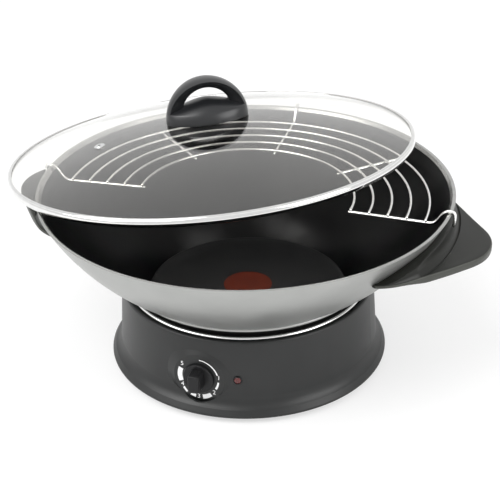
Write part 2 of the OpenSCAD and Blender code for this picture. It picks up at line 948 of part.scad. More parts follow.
// a straight wire that rises over the bowl's rim and ends outside it
module hook(turn) {
  flat = [for (i = [0:3]) [rack_inner_r - 2 + i * (rack_width + 2) / 3, spoke_z]];
  rise = bezier([
    [crest_r - 18, spoke_z], [crest_r - 8, spoke_z], [crest_r - 9, hook_z], [crest_r, hook_z]
  ], 8);
  fall = bezier([
    [crest_r, hook_z], [crest_r + 5, hook_z], [hook_out_r, hook_z - 4], [hook_out_r, hook_z - 12.5]
  ], 7);
  line = concat(flat, rise, [for (i = [1:7]) fall[i]]);
  color(bright_steel)
    tube([for (p = line) [p[0] * cos(turn), p[0] * sin(turn), p[1]]], spoke_wire_r, 10,
      [-sin(turn), cos(turn), 0]);
}

module rack_end_hook_right() {
  hook(rack_start);
}

module rack_middle_hook() {
  hook(rack_start + 2 * spoke_turn);
}

module rack_end_hook_left() {
  hook(rack_start + rack_span);
}

module rack_cross_wires() {
  color(bright_steel)
    for (i = [1, 3])
      rotate(rack_start + i * spoke_turn)
        translate([rack_inner_r - 2, 0, spoke_z])
          rotate([0, 90, 0])
            cylinder(r = spoke_wire_r, h = rack_outer_r - rack_inner_r + 4, $fn = 24);
}

// ---------- lid ----------

module lid_glass() {
  n = 14;
  top = [for (i = [0:n]) let (r = glass_r * i / n) [r, glass_z(r)]];
  under = [for (i = [n:-1:0]) let (r = glass_r * i / n) [r, glass_z(r) - glass_t]];
  color("#e8edf0", 0.35)
    in_lid_frame()
      difference() {
        rotate_extrude($fn = 120)
          polygon(concat(flip(under), flip(top)));
        cylinder(r = knob_hole_r + 0.5, h = 60);
        translate([vent_at[0], vent_at[1], 0])
          cylinder(r = vent_r, h = 60);
      }
}

module lid_band() {
  in_r = lid_r - band_t;
  low = band_low;
  top = band_low + band_h;
  glass_low = edge_top - glass_t;
  color(bright_steel)
    in_lid_frame()
      rotate_extrude($fn = 120)
        polygon(concat(
          arc(lid_r - 1.2, low + 1.2, 1.2, -90, 0, 4),
          arc(lid_r - 1.2, top - 1.2, 1.2, 0, 90, 4),
          [[lid_r - 3.4, top], [lid_r - 3.6, top - band_t], [in_r, top - band_t],
           [in_r, glass_low - 0.2], [lid_r - 4, glass_low - 1], [lid_r - 4, low]]
        ));
}

// one oval ring of the lid knob's foot, in the knob's own frame
function oval(a, b, z) =
  [for (k = [0:47]) [a * cos(7.5 * k), b * sin(7.5 * k), z]];

module in_knob_frame() {
  in_lid_frame()
    rotate([0, 0, knob_turn])
      translate([0, 0, glass_top])
        children();
}

module lid_knob_base() {
  shoulder = 0.4 * lid_knob_h;
  round_z = lid_knob_h - lid_knob_a;
  color("#333334")
    in_knob_frame()
      difference() {
        skin(concat(
          [oval(lid_knob_a - 2, lid_knob_b - 2, -2)],
          [for (i = [0:6])
            let (z = shoulder * i / 6, a = sqrt(pow(lid_knob_a, 2) - pow(max(0, z - round_z), 2)))
            oval(a, lid_knob_b * (1 - 0.42 * pow(i / 6, 1.7)), z)],
          [oval(finger_w - 1, lid_knob_b * 0.56, shoulder)],
          [for (i = [1:4])
            let (s = cos(22 * i))
            oval((finger_w - 1) * s, lid_knob_b * 0.56 * s, shoulder + 5 * sin(22 * i))]
        ));
        // underside follows the glass, and a socket takes the screw
        translate([0, 0, -dome_curve_r])
          sphere(dome_curve_r + seat_gap, $fn = 128);
        translate([0, 0, -3])
          cylinder(r = 2.1, h = 18);
      }
}

module lid_knob_loop() {
  shoulder = 0.4 * lid_knob_h;
  arch_r = 22.5;
  round_z = lid_knob_h - lid_knob_a;
  outer_a = asin((shoulder - round_z) / lid_knob_a);
  span = finger_w * 1.02;
  color("#3a3b3b")
    in_knob_frame()
      intersection() {
        rotate([90, 0, 0])
          translate([0, 0, -loop_b - 2])
            linear_extrude(2 * loop_b + 4)
              difference() {
                polygon(arc(0, round_z, lid_knob_a, outer_a, 180 - outer_a, 28));
                polygon(concat(
                  [[span, shoulder - 1]],
                  arc(0, lid_knob_h - loop_t - arch_r, arch_r, 22, 158, 20),
                  [[-span, shoulder - 1]]
                ));
              }
        linear_extrude(lid_knob_h + 1)
          polygon([for (k = [0:47])
            [(lid_knob_a + 4) * cos(7.5 * k), (loop_b + 0.5) * sin(7.5 * k)]]);
      }
}

module lid_knob_seal() {
  color("#202020")
    in_lid_frame()
      translate([0, 0, glass_top - glass_t])
        difference() {
          union() {
            translate([0, 0, -1.2])
              cylinder(r = 9, h = 1.1);
            translate([0, 0, -1.2])
              cylinder(r = knob_hole_r + 0.3, h = glass_t + 1.2);
          }
          translate([0, 0, -5])
            cylinder(r = 2.3, h = 20);
        }
}

module lid_knob_washer() {
  color(bright_steel)
    in_lid_frame()
      translate([0, 0, glass_top - glass_t - 2.2])
        difference() {
          cylinder(r = 8, h = 1);
          translate([0, 0, -1])
            cylinder(r = 2.3, h = 4);
        }
}

module lid_knob_screw() {
  color(bright_steel)
    in_lid_frame()
      translate([0, 0, glass_top - glass_t - 4.6])
        difference() {
          union() {
            cylinder(r = 4, h = 2.4);
            cylinder(r = 2, h = 18);
          }
          translate([-2.6, -0.5, -0.1])
            cube([5.2, 1, 1]);
        }
}

module steam_vent() {
  r = norm(vent_at);
  lean = asin(r / dome_curve_r);
  color(bright_steel)
    in_lid_frame()
      rotate([0, 0, atan2(vent_at[1], vent_at[0])])
        translate([r, 0, glass_z(r)])
          rotate([0, lean, 0])
            difference() {
              union() {
                translate([0, 0, -glass_t - 0.9])
                  cylinder(r = vent_r - 0.6, h = glass_t + 1);
                translate([0, 0, 0.1])
                  cylinder(r1 = vent_r + 2, r2 = vent_r + 1, h = 0.8);
                translate([0, 0, -glass_t - 0.9])
                  cylinder(r = vent_r + 1.5, h = 0.7);
              }
              translate([0, 0, -10])
                cylinder(r = 1.3, h = 20);
            }
}

base_housing();
bottom_plate();
base_feet();
base_screws();
trim_ring();
reflector_pan();
heating_element();
element_brackets();
element_bushes();
element_terminals();
thermostat_body();
thermostat_bracket();
thermostat_nut();
sensor_cup();
sensor_spring();
sensor_holder();
capillary_tube();
thermal_fuse();
fuse_clip();
terminal_block();
live_lead();
switched_lead();
neutral_lead();
earth_lead();
lamp_leads();
lamp_lens();
neon_lamp();
cord_gland();
gland_nut();
control_knob();
thermostat_shaft();
knob_clip();
wok_bowl();
handle_right();
handle_left();
handle_brackets();
handle_screws();
rack_arcs();
rack_end_hook_right();
rack_end_hook_left();
rack_middle_hook();
rack_cross_wires();
lid_glass();
lid_band();
lid_knob_base();
lid_knob_loop();
lid_knob_seal();
lid_knob_washer();
lid_knob_screw();
steam_vent();
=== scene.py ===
import math
import bpy
import numpy as np
from mathutils import Matrix, Vector


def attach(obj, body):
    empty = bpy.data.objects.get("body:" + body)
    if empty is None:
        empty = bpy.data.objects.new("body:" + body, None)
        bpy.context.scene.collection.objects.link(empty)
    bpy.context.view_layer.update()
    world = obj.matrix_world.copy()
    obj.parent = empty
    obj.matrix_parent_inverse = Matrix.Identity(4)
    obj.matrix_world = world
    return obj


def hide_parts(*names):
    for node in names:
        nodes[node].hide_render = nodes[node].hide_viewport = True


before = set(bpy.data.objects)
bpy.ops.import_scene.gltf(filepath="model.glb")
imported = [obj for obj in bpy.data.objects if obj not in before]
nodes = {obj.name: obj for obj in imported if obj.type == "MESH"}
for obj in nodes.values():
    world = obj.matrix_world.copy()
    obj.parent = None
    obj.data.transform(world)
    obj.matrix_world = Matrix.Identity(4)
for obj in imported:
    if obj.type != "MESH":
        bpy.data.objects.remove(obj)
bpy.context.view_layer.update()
mm = 0.001
scene = bpy.context.scene
scene.view_settings.view_transform = "Standard"
print("frame loaded:", len(nodes), "CAD nodes")

# camera at the photograph's place, found by fitting the circles of bowl, base and lid. The columns of its
# matrix are its right, up and back directions and its place in metres
camData = bpy.data.cameras.new("photoCamera")
camData.sensor_fit = "HORIZONTAL"
camData.sensor_width = 36.0
camData.lens = 93.6
camData.clip_start = 0.05
camData.clip_end = 30.0
cam = bpy.data.objects.new("photoCamera", camData)
scene.collection.objects.link(cam)
cam.matrix_world = Matrix((
    (0.94274, -0.14596, 0.29988, 0.351068),
    (0.33307, 0.45850, -0.82392, -0.957328),
    (-0.01723, 0.87662, 0.48087, 0.658871),
    (0.0, 0.0, 0.0, 1.0),
))
scene.camera = cam


# sRGB hex to linear: c / 12.92 up to 0.04045, and above it ((c + 0.055) / 1.055)^2.4
def linear(hexColour):
    c = np.array([int(hexColour[i:i + 2], 16) for i in (1, 3, 5)]) / 255
    return (*np.where(c <= 0.04045, c / 12.92, ((c + 0.055) / 1.055) ** 2.4), 1.0)


# adds a shader node. Settings are attributes of the node or, by socket name or number, values of its inputs;
# links feed its inputs from other outputs, and stops are positions and hex colours of a colour ramp
def addNode(tree, kind, settings=None, links=None, stops=()):
    node = tree.nodes.new(kind)
    for key, value in (settings or {}).items():
        if isinstance(key, str) and hasattr(node, key):
            setattr(node, key, value)
        else:
            node.inputs[key].default_value = value
    for key, source in (links or {}).items():
        tree.links.new(source, node.inputs[key])
    for i, (position, colour) in enumerate(stops):
        if i > 1:
            node.color_ramp.elements.new(position)
        node.color_ramp.elements[i].position = position
        node.color_ramp.elements[i].color = linear(colour)
    return node


# a material with one Principled shader, whose constants are set on its own sockets
def newMaterial(name, **shader):
    mat = bpy.data.materials.new(name)
    mat.use_nodes = True
    bsdf = mat.node_tree.nodes["Principled BSDF"]
    for key, value in shader.items():
        bsdf.inputs[key.replace("_", " ")].default_value = value
    return mat, mat.node_tree, bsdf


# finish shared by the moulded, plated and turned pieces: a pattern of cloudMm drives the colour between
# dark and light and the roughness between its two ends, and a finer pattern of grainMm drives a bump of
# depthMm. A turned piece reads its UV map, with the grain drawn out along u
def finish(name, dark, light, rough, grainMm, depthMm, cloudMm=26, turned=False, **shader):
    mat, tree, bsdf = newMaterial(name, **shader)
    at = addNode(tree, "ShaderNodeTexCoord").outputs["UV" if turned else "Object"]
    along = at
    if turned:
        along = addNode(tree, "ShaderNodeMapping", {"Scale": (0.01, 1, 1)}, {"Vector": at}).outputs["Vector"]
    cloud = addNode(tree, "ShaderNodeTexNoise", {"Scale": 1000 / cloudMm, "Detail": 3}, {"Vector": at})
    grain = addNode(tree, "ShaderNodeTexNoise", {"Scale": 1000 / grainMm, "Detail": 2}, {"Vector": along})
    colour = addNode(tree, "ShaderNodeValToRGB", None, {"Fac": cloud.outputs["Fac"]},
                     [(0.3, dark), (0.7, light)])
    gloss = addNode(tree, "ShaderNodeMapRange", {"To Min": rough[0], "To Max": rough[1]},
                    {"Value": cloud.outputs["Fac"]})
    relief = addNode(tree, "ShaderNodeBump", {"Distance": depthMm * mm}, {"Height": grain.outputs["Fac"]})
    tree.links.new(colour.outputs["Color"], bsdf.inputs["Base Color"])
    tree.links.new(gloss.outputs["Result"], bsdf.inputs["Roughness"])
    tree.links.new(relief.outputs["Normal"], bsdf.inputs["Normal"])
    return mat


# puts points and faces into a mesh object at the origin; uvs holds one pair per point
def meshObject(name, points, faces, mats, uvs=None, faceMats=None, smooth=True):
    mesh = bpy.data.meshes.new(name)
    mesh.from_pydata(np.asarray(points).tolist(), [], faces)
    for mat in mats:
        mesh.materials.append(mat)
    if faceMats is not None:
        mesh.polygons.foreach_set("material_index", np.asarray(faceMats, np.int32))
    if uvs is not None:
        layer = mesh.uv_layers.new(name="UVMap")
        corners = np.zeros(len(mesh.loops), np.int32)
        mesh.loops.foreach_get("vertex_index", corners)
        layer.data.foreach_set("uv", np.asarray(uvs, float)[corners].ravel())
    mesh.polygons.foreach_set("use_smooth", np.full(len(mesh.polygons), smooth, bool))
    obj = bpy.data.objects.new(name, mesh)
    scene.collection.objects.link(obj)
    return obj


# skins a stack of rings, rows x cols x 3 in metres, with faces numbered from first. Point i, k joins the
# next ring and the next point round it. A looped stack joins its last ring to its first, and any other
# closes each end with a fan to the mean of its end ring. The signed volume is the sum of a . (b x c) over
# the triangles, and where it is negative every face is reversed, so that all of them face outward
def ringSkin(stack, looped=False, first=0):
    rows, cols = stack.shape[:2]
    i, k = np.arange(rows if looped else rows - 1)[:, None], np.arange(cols)[None, :]
    j, m = (i + 1) % rows, (k + 1) % cols
    quads = np.stack((i * cols + k, i * cols + m, j * cols + m, j * cols + k), -1).reshape(-1, 4)
    points, fans = stack.reshape(-1, 3), np.zeros((0, 3), int)
    if not looped:
        points = np.vstack([points, stack[0].mean(0), stack[-1].mean(0)])
        k, m, last = k[0], m[0], (rows - 1) * cols
        fans = np.vstack([np.column_stack([m, k, np.full(cols, last + cols)]),
                          np.column_stack([last + k, last + m, np.full(cols, last + cols + 1)])])
    tri = points[np.vstack([quads[:, :3], quads[:, [0, 2, 3]], fans])]
    if np.einsum("ij,ij->", tri[:, 0], np.cross(tri[:, 1], tri[:, 2])) < 0:
        quads, fans = quads[:, ::-1], fans[:, ::-1]
    return points, (quads + first).tolist() + (fans + first).tolist()


# one object from a stack. rowMats gives each ring's material, and colMats that of each place round the rings
def ringObject(name, stack, mats, looped=False, uvs=None, rowMats=None, colMats=None):
    rows, cols = stack.shape[:2]
    points, faces = ringSkin(stack, looped)
    faceMats = None
    if rowMats is not None:
        faceMats = np.repeat(np.asarray(rowMats)[:rows if looped else rows - 1], cols)
        if not looped:
            faceMats = np.concatenate([faceMats, np.full(cols, rowMats[0]), np.full(cols, rowMats[-1])])
    if colMats is not None:
        faceMats = np.concatenate([np.tile(colMats, rows - 1), np.zeros(2 * cols)])
    if uvs is not None:
        uvs = np.vstack([uvs.reshape(-1, 2), np.zeros((len(points) - rows * cols, 2))])
    return meshObject(name, points, faces, mats, uvs, faceMats)


# one object from several closed stacks
def joinedStacks(name, stacks, mats, smooth=True):
    points, faces = np.zeros((0, 3)), []
    for stack in stacks:
        more, skin = ringSkin(stack, first=len(points))
        points = np.vstack([points, more])
        faces += skin
    return meshObject(name, points, faces, mats, smooth=smooth)


# points in metres carried by a 4 x 4 matrix
def moved(points, frame4):
    return points @ np.array(frame4.to_3x3()).T + np.array(frame4.translation)


# turns a profile of radius and height in millimetres round Z: x = r cos a, y = r sin a, z = height.
# u is the arc at the largest radius and v the length along the profile, both in metres
def revolve(name, profile, steps, mats, rowMats=None, frame4=None, looped=True):
    angle = np.linspace(0, 2 * math.pi, steps, endpoint=False)
    along = np.concatenate([[0], np.cumsum(np.linalg.norm(np.diff(profile, axis=0), axis=1))])
    r, z = profile[:, 0, None] * mm, profile[:, 1, None] * mm
    stack = np.stack([r * np.cos(angle), r * np.sin(angle), z + 0 * angle], -1)
    uvs = np.stack([r.max() * angle + 0 * r, along[:, None] * mm + 0 * angle], -1)
    if frame4 is not None:
        stack = moved(stack, frame4)
    return ringObject(name, stack, mats, looped, uvs, rowMats)


# points along an arc, angles in degrees: centre + r (cos a, sin a)
def arcPoints(cx, cy, r, a0, a1, n):
    a = np.radians(np.linspace(a0, a1, n + 1))
    return np.column_stack([cx + r * np.cos(a), cy + r * np.sin(a)])


# points along a cubic curve: the four points weighted by s^3, 3 s^2 t, 3 s t^2 and t^3, with s = 1 - t
def bezier(p, n):
    p = np.asarray(p, float)
    t = np.linspace(0, 1, n + 1)[:, None]
    s = 1 - t
    return s ** 3 * p[0] + 3 * s * s * t * p[1] + 3 * s * t * t * p[2] + t ** 3 * p[3]


# goes smoothly from 0 to 1 as f does: f^2 (3 - 2 f)
def eased(f):
    return f ** 2 * (3 - 2 * f)


# round wire along a path that lies in a plane: each ring is path + r (cos f normal + sin f across), where
# across is the path's direction turned in its plane. Two smaller rings at each end round it off
def wire(path, normal, radius, sides=14):
    ahead, shrink = np.array([0.92, 0.55]), np.array([0.35, 0.8])
    tangent = np.gradient(path, axis=0)
    tangent /= np.linalg.norm(tangent, axis=1)[:, None]
    across = np.cross(tangent, normal)
    push = radius * ahead[:, None]
    centre = np.vstack([path[0] - tangent[0] * push, path, path[-1] + tangent[-1] * push[::-1]])
    size = radius * np.concatenate([shrink, np.ones(len(path)), shrink[::-1]])
    across = np.vstack([across[[0, 0]], across, across[[-1, -1]]])
    f = np.linspace(0, 2 * math.pi, sides, endpoint=False)[None, :, None]
    ring = np.cos(f) * np.asarray(normal, float) - np.sin(f) * across[:, None]
    return centre[:, None] + size[:, None, None] * ring


# marks edges that turn by more than sharp degrees, so that flats stay flat, rides a piece on its body
# and hides the nodes it stands for
def put(obj, body, slot, *replaced, sharp=None):
    if sharp is not None:
        obj.data.set_sharp_from_angle(angle=math.radians(sharp))
    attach(obj, body)
    if replaced:
        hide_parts(*replaced)


# silver-grey baked enamel on aluminium: satin, its fine metal flake giving a soft sheen that follows the room
bowlPaint = finish("bowlPaint", "#9c9d9b", "#a6a7a5", (0.3, 0.44), 0.35, 0.012, 40, Metallic=0.8)
# bare aluminium lip, turned bright after coating
bowlLip = finish("bowlLip", "#a9a9a7", "#b3b3b1", (0.18, 0.3), 0.25, 0.01, 9, True, Metallic=1.0)
# black non-stick coating on the walls, smooth with a fine orange peel
nonStick = finish("nonStick", "#050506", "#09090a", (0.26, 0.34), 1.4, 0.02, 35, Specular_IOR_Level=0.12)
# the same coating rolled on the flat floor, a little duller
floorCoat = finish("floorCoat", "#0d0d0e", "#131314", (0.34, 0.42), 1.2, 0.02, 35, Specular_IOR_Level=0.22)
# near-black coat under the bowl and up the well: painted shade for the dark gap between the bowl and the trim
# ring
paintedShadeCoat = finish("paintedShadeCoat", "#080808", "#0d0d0d", (0.6, 0.7), 1.0, 0.02, 30, Specular_IOR_Level=0.15)
# rust-red heat indicator fired into the coating: a plain disc
heatSpot = finish("heatSpot", "#4d190a", "#591e0c", (0.4, 0.5), 1.2, 0.015, 12, Specular_IOR_Level=0.15)
print("bowl materials made")

# bowl: one revolved section, painted outside, turned lip, coated inside. Its wall is a ball's, curveR in
# radius. Lip, floorEdge and footOut are offsets of radius and height from the rim, from the floor's edge and
# from the foot, and wellIn and beadIn are how far the well ends and the bead is centred inside the corner
bowl = {
    "rimR": 181.2, "rimZ": 163.2, "curveR": 204.0, "wall": 3.2, "wellR": 109.0, "poleR": 0.6, "steps": 320,
    "footR": 92.0, "footZ": 60.0, "footRound": 3.6, "footEase": 0.2, "innerOut": 5.0, "lipAngle": 0.55,
    "footOut": ((4.0, 3.0), (4.3, 3.6)), "wellIn": (1.6, 2.9), "beadR": 1.5, "beadIn": (0.2, 1.0),
    "floorR": 88.5, "floorZ": 65.0, "floorLean": 56.0, "pull": 11.0, "floorRings": (86.1, 70, 50, 35, 26),
    "spotR": 21.8, "spotMid": 12.0, "inkT": 0.02, "inkEdge": 0.2,
    "lip": ((-0.15, 0.03), (-0.5, 0.24), (-1.1, 0.35), (-2.0, 0.3), (-2.9, 0.05), (-3.2, -0.5)),
    "floorEdge": ((-0.5, 0.35), (-1.2, 0.4), (-1.8, 0.1)),
}
bowl["curveZ"] = bowl["rimZ"] + math.sqrt(bowl["curveR"] ** 2 - bowl["rimR"] ** 2)


# points of a ball about the bowl's centre at angles a from its bottom: (r sin a, centre height - r cos a)
def ballPoints(r, a):
    return np.column_stack([r * np.sin(a), bowl["curveZ"] - r * np.cos(a)])


# radius of the bowl's outside at a height, with a gap: sqrt((R + gap)^2 - (centre height - z)^2)
def ballR(z, gap):
    return np.sqrt((bowl["curveR"] + gap) ** 2 - (bowl["curveZ"] - z) ** 2)


# the bowl's section from the middle of its underside, out and up to the lip, and down inside to the floor's
# middle, with the number of the material of each point
def bowlProfile(b):
    innerCurve = b["curveR"] - b["wall"]
    aLow, aRim = math.asin(b["wellR"] / b["curveR"]), math.asin(b["rimR"] / b["curveR"])
    aIn = math.asin((b["wellR"] + b["innerOut"]) / innerCurve)
    aLean = math.radians(b["floorLean"])
    outer = ballPoints(b["curveR"], np.linspace(aLow, aRim, 40)[1:])
    inner = ballPoints(innerCurve, np.linspace(aRim - math.radians(b["lipAngle"]), aIn, 40))
    foot, edge = np.array([b["footR"], b["footZ"]]), np.array([b["floorR"], b["floorZ"]])
    corner = np.array([b["wellR"], b["curveZ"] - b["curveR"] * math.cos(aLow)])
    down, lean = np.array([math.cos(aIn), math.sin(aIn)]), np.array([math.cos(aLean), math.sin(aLean)])
    turn = bezier([inner[-1], inner[-1] - b["pull"] * down, edge + b["pull"] * lean, edge], 16)
    under = np.array([[b["poleR"], b["footZ"]], foot - [1.5, 0], foot + [0, 0.02]])
    near, far = foot + b["footOut"]
    well = np.vstack([
        arcPoints(foot[0] + b["footEase"], foot[1] + b["footRound"], b["footRound"], -80, -20, 6),
        [near],
        np.linspace(far, corner - b["wellIn"], 10),
    ])
    bead = arcPoints(*(corner - b["beadIn"]), b["beadR"], -110, 40, 10)
    floorRows = np.array([[r, b["floorZ"]] for r in b["floorRings"]])
    spotZ = b["floorZ"] + b["inkT"]
    spot = np.array([[b["spotR"], b["floorZ"]], [b["spotR"] - b["inkEdge"], spotZ], [b["spotMid"], spotZ],
                     [b["poleR"], spotZ]])
    # the underside and the well take the near-black coat, painted shade of the gap above the trim ring
    parts = [(under, 4), (well, 4), (bead, 0), (outer, 0), (np.array([b["rimR"], b["rimZ"]]) + b["lip"], 1),
             (inner[1:], 2), (turn[1:], 2), (edge + b["floorEdge"], 3), (floorRows, 3), (spot, 5)]
    points = np.vstack([rows for rows, _ in parts])
    return points, np.repeat([mat for _, mat in parts], [len(rows) for rows, _ in parts])


section, sectionMats = bowlProfile(bowl)
bowlMats = [bowlPaint, bowlLip, nonStick, floorCoat, paintedShadeCoat, heatSpot]
wokBowl = revolve("wokBowl", section, bowl["steps"], bowlMats, rowMats=sectionMats, looped=False)
put(wokBowl, "bowl", "bowl_coat", "wok_bowl", sharp=24)
print("bowl made")

# side handles: sections swept round the bowl, flat plate with a hollow-faced collar
# compression-moulded phenolic, satin black with a fine grain
handlePlastic = finish("handlePlastic", "#12130f", "#161713", (0.28, 0.38), 0.45, 0.012,
                       Specular_IOR_Level=0.24)
# the same phenolic round the plate's rim, matt and lighter grey: a painted reflection of the pale floor on
# the plate's side face
handlePaintedRimLight = finish("handlePaintedRimLight", "#3b3c38", "#434440", (0.4, 0.5), 0.45, 0.012, Specular_IOR_Level=0.24)
# sideLead and side, hollow and tip are the control points of the outline's curves. Distances from the
# handle's middle plane are read at readR. Each row of corner is an inset in millimetres, an inset in edges
# and a rise; the rows of grooveForm are shares of the groove's width out and up; collarPull bends the
# collar's face, whose control points stand at riseShares of its height. EdgeShare is the most of the plate's
# width that its rounded edge takes, and leastOut, leastTop, leastFoot and leastCrest keep walls from closing
handle = {
    "reach": 216.0, "endR": 46.0, "turn": 38.8, "top": 140.0, "thick": 7.0, "gap": 0.3, "edge": 1.5,
    "sideLead": (-17, 21.5), "side": ((176.5, 65.5), (172, 71)),
    "hollow": ((166, 78.5), (161, 85.5), (153, 90)), "tip": ((149, 92.3), (145.5, 94.3), (141.5, 94.5)),
    "readR": 178.0, "leastOut": 0.8, "leastTop": 0.1, "leastFoot": 0.2, "leastCrest": 0.15, "steps": 121,
    "corner": ((1.0, 1.0, 0.0), (0.4, 0.5, 0.25), (0.3, 0.0, 0.9), (0.0, 0.0, 2.0)), "paintedLightCols": (1, 9),
    "edgeAngles": (0, 20, 38, 55, 72, 90), "edgeShare": 0.4, "topShares": (0.85, 0.7, 0.55),
    "groove": 1.8, "grooveForm": ((1, 0), (0.8, -0.2), (0.45, -0.45), (0.1, -0.2)),
    "collarR": 185.0, "collarH": 10.2, "collarIn": 4.6, "collarPull": (2.5, 4.0),
    "riseShares": (0, 0.16, 0.5, 0.88), "crestW": 1.2, "crestIn": 0.25, "crestDrop": 0.05, "innerUp": 3.0,
    "flat": 44.0, "end": 93.0, "fallPower": 1.6, "rootY": 58.0, "rootOver": 27.0, "rootLift": 4.5,
    "droop": 1.4, "droopR": 179.0, "droopOver": 20.0,
}


# half of the plate's outline, from the tip of its reach to its end against the bowl
def handleOutline(h):
    arc = arcPoints(h["reach"] - h["endR"], 0, h["endR"], 0, h["turn"], 24)
    side = bezier([arc[-1], arc[-1] + h["sideLead"], *h["side"]], 10)
    hollow = bezier([side[-1], *h["hollow"]], 10)
    tip = bezier([hollow[-1], *h["tip"]], 8)
    return np.vstack([arc, side[1:], hollow[1:], tip[1:]])


# sections at equal steps of azimuth. Each runs out under the plate, round its edge, in over its top, up the
# collar's hollow face and back down the bowl. A groove runs along the collar's foot. The collar's height
# falls off towards the ends as 1 - (1 - fall)^fallPower, and there the plate thins from below. Its rim
# droops outward
def handleStack(h):
    line = handleOutline(h)
    azimuth, reach = np.arctan2(line[:, 1], line[:, 0]), np.hypot(line[:, 0], line[:, 1])
    a = np.linspace(-azimuth[-1], azimuth[-1], h["steps"])
    away = np.abs(np.sin(a)) * h["readR"]
    thick = h["thick"] - h["rootLift"] * eased(np.clip((away - h["rootY"]) / h["rootOver"], 0, 1))
    k = thick / h["thick"]
    low, top, gap = h["top"] - thick, h["top"], h["gap"]
    fall = np.clip((h["end"] - away) / (h["end"] - h["flat"]), 0, 1)
    share = 1 - (1 - fall) ** h["fallPower"]
    rise = h["collarH"] * share
    inner = ballR(top, gap)
    outer = np.maximum(np.interp(np.abs(a), azimuth, reach), inner + h["leastOut"])
    e = np.minimum(h["edge"], (outer - inner) * h["edgeShare"])
    foot = np.maximum(np.minimum(h["collarR"], outer - e - h["leastTop"]), inner + h["leastFoot"])
    groove = np.minimum(h["groove"] * share, 0.5 * (outer - e - foot))
    crestZ = top + rise
    crestIn = ballR(crestZ, gap)
    crestOut = np.maximum(foot - h["collarIn"] * share, crestIn + h["leastCrest"])
    pull1, pull2 = h["collarPull"]
    section = [(ballR(low, gap), low)]
    section += [(outer - inset - part * e, low + up * k) for inset, part, up in h["corner"]]
    section += [(outer - e + e * math.cos(t), top - e + e * math.sin(t)) for t in np.radians(h["edgeAngles"])]
    section += [(foot + (outer - e - foot) * f, top) for f in h["topShares"]]
    section += [(foot + out * groove, top + up * groove) for out, up in h["grooveForm"]]
    section += zip(bezier([foot, foot - pull1 * share, foot - pull2 * share, crestOut], 7),
                   bezier([top + part * rise for part in h["riseShares"]], 7))
    middle, above = top + 0.5 * rise, low + h["innerUp"] * k
    section += [(crestOut - h["crestIn"] * share, crestZ - h["crestDrop"] * rise),
                (np.maximum(crestOut - h["crestW"], crestIn + h["leastTop"]), crestZ), (crestIn, crestZ),
                (ballR(middle, gap), middle), (inner, top), (ballR(above, gap), above)]
    r, z = (np.stack([row[i] + 0 * a for row in section], 1) for i in (0, 1))
    z = z - h["droop"] * eased(np.clip((r - h["droopR"]) / h["droopOver"], 0, 1))
    return np.stack([r * np.cos(a)[:, None], r * np.sin(a)[:, None], z], -1) * mm


for name, turn, node in (("handleRight", 0, "handle_right"), ("handleLeft", math.pi, "handle_left")):
    stack = moved(handleStack(handle), Matrix.Rotation(turn, 4, "Z"))
    # the plate's rim faces take the lighter grey, a painted reflection of the floor
    paintedLightFaces = np.isin(np.arange(stack.shape[1]), np.arange(*handle["paintedLightCols"])).astype(int)
    piece = ringObject(name, stack, [handlePlastic, handlePaintedRimLight], colMats=paintedLightFaces)
    put(piece, "bowl", "handle_plastic", node, sharp=40)
print("handles made")

# draining rack: bright plated wire
rackWire = finish("rackWire", "#e9e9e7", "#f2f2f0", (0.08, 0.18), 1.5, 0.006, 6, Metallic=1.0)
# start and span are degrees of azimuth, and each wire runs on past its last crossing by over or overAngle.
# The hook rises riseIn inside its crest, which it leaves flat, and risePull and fallPull bend its curves
rack = {
    "innerR": 94.5, "outerR": 159.5, "arcs": 5, "arcWire": 1.25, "spokeWire": 1.5,
    "start": 0.5, "span": 185.5, "over": 1.2, "overAngle": 0.4, "spokeZ": 151.8, "hookZ": 165.0,
    "arcZ": 154.25, "crestR": 180.0, "outR": 183.4, "drop": 12.5, "flatIn": 22.0, "riseIn": 18.0,
    "risePull": (8.0, 9.0), "fallPull": (5.0, 4.0),
}


# points at radius r, azimuth a in radians and height z, millimetres to metres
def onRing(r, a, z):
    return np.column_stack(np.broadcast_arrays(r * np.cos(a), r * np.sin(a), z)) * mm


# radius and height along a hook: flat under the arcs, up inside the rim, over it and down outside
def hookLine(rk):
    crest, low, high = rk["crestR"], rk["spokeZ"], rk["hookZ"]
    flat = np.linspace((rk["innerR"] - rk["over"], low), (crest - rk["flatIn"], low), 18)
    rise = bezier([[crest - rk["riseIn"], low], [crest - rk["risePull"][0], low],
                   [crest - rk["risePull"][1], high], [crest, high]], 16)
    fall = bezier([[crest, high], [crest + rk["fallPull"][0], high],
                   [rk["outR"], high - rk["fallPull"][1]], [rk["outR"], high - rk["drop"]]], 14)
    return np.vstack([flat, rise, fall[1:]])


turns = np.radians(rack["start"] + rack["span"] * np.arange(5) / 4)
sweep = np.radians(np.linspace(rack["start"] - rack["overAngle"],
                               rack["start"] + rack["span"] + rack["overAngle"], 110))
arcs = [wire(onRing(r, sweep, rack["arcZ"]), (0, 0, 1), rack["arcWire"] * mm, 12)
        for r in np.linspace(rack["innerR"], rack["outerR"], rack["arcs"])]
put(joinedStacks("rackArcs", arcs, [rackWire]), "rack", "plated_wire", "rack_arcs")
hook = hookLine(rack)
across = np.linspace((rack["innerR"] - rack["over"], rack["spokeZ"]),
                     (rack["outerR"] + rack["over"], rack["spokeZ"]), 24)
for name, line, at, node in (
        ("hookRight", hook, [0], "rack_end_hook_right"), ("hookMiddle", hook, [2], "rack_middle_hook"),
        ("hookLeft", hook, [4], "rack_end_hook_left"), ("crossWires", across, [1, 3], "rack_cross_wires")):
    stacks = [wire(onRing(line[:, 0], a, line[:, 1]), (-math.sin(a), math.cos(a), 0), rack["spokeWire"] * mm)
              for a in turns[at]]
    put(joinedStacks(name, stacks, [rackWire]), "rack", "plated_wire", node)
print("rack made")

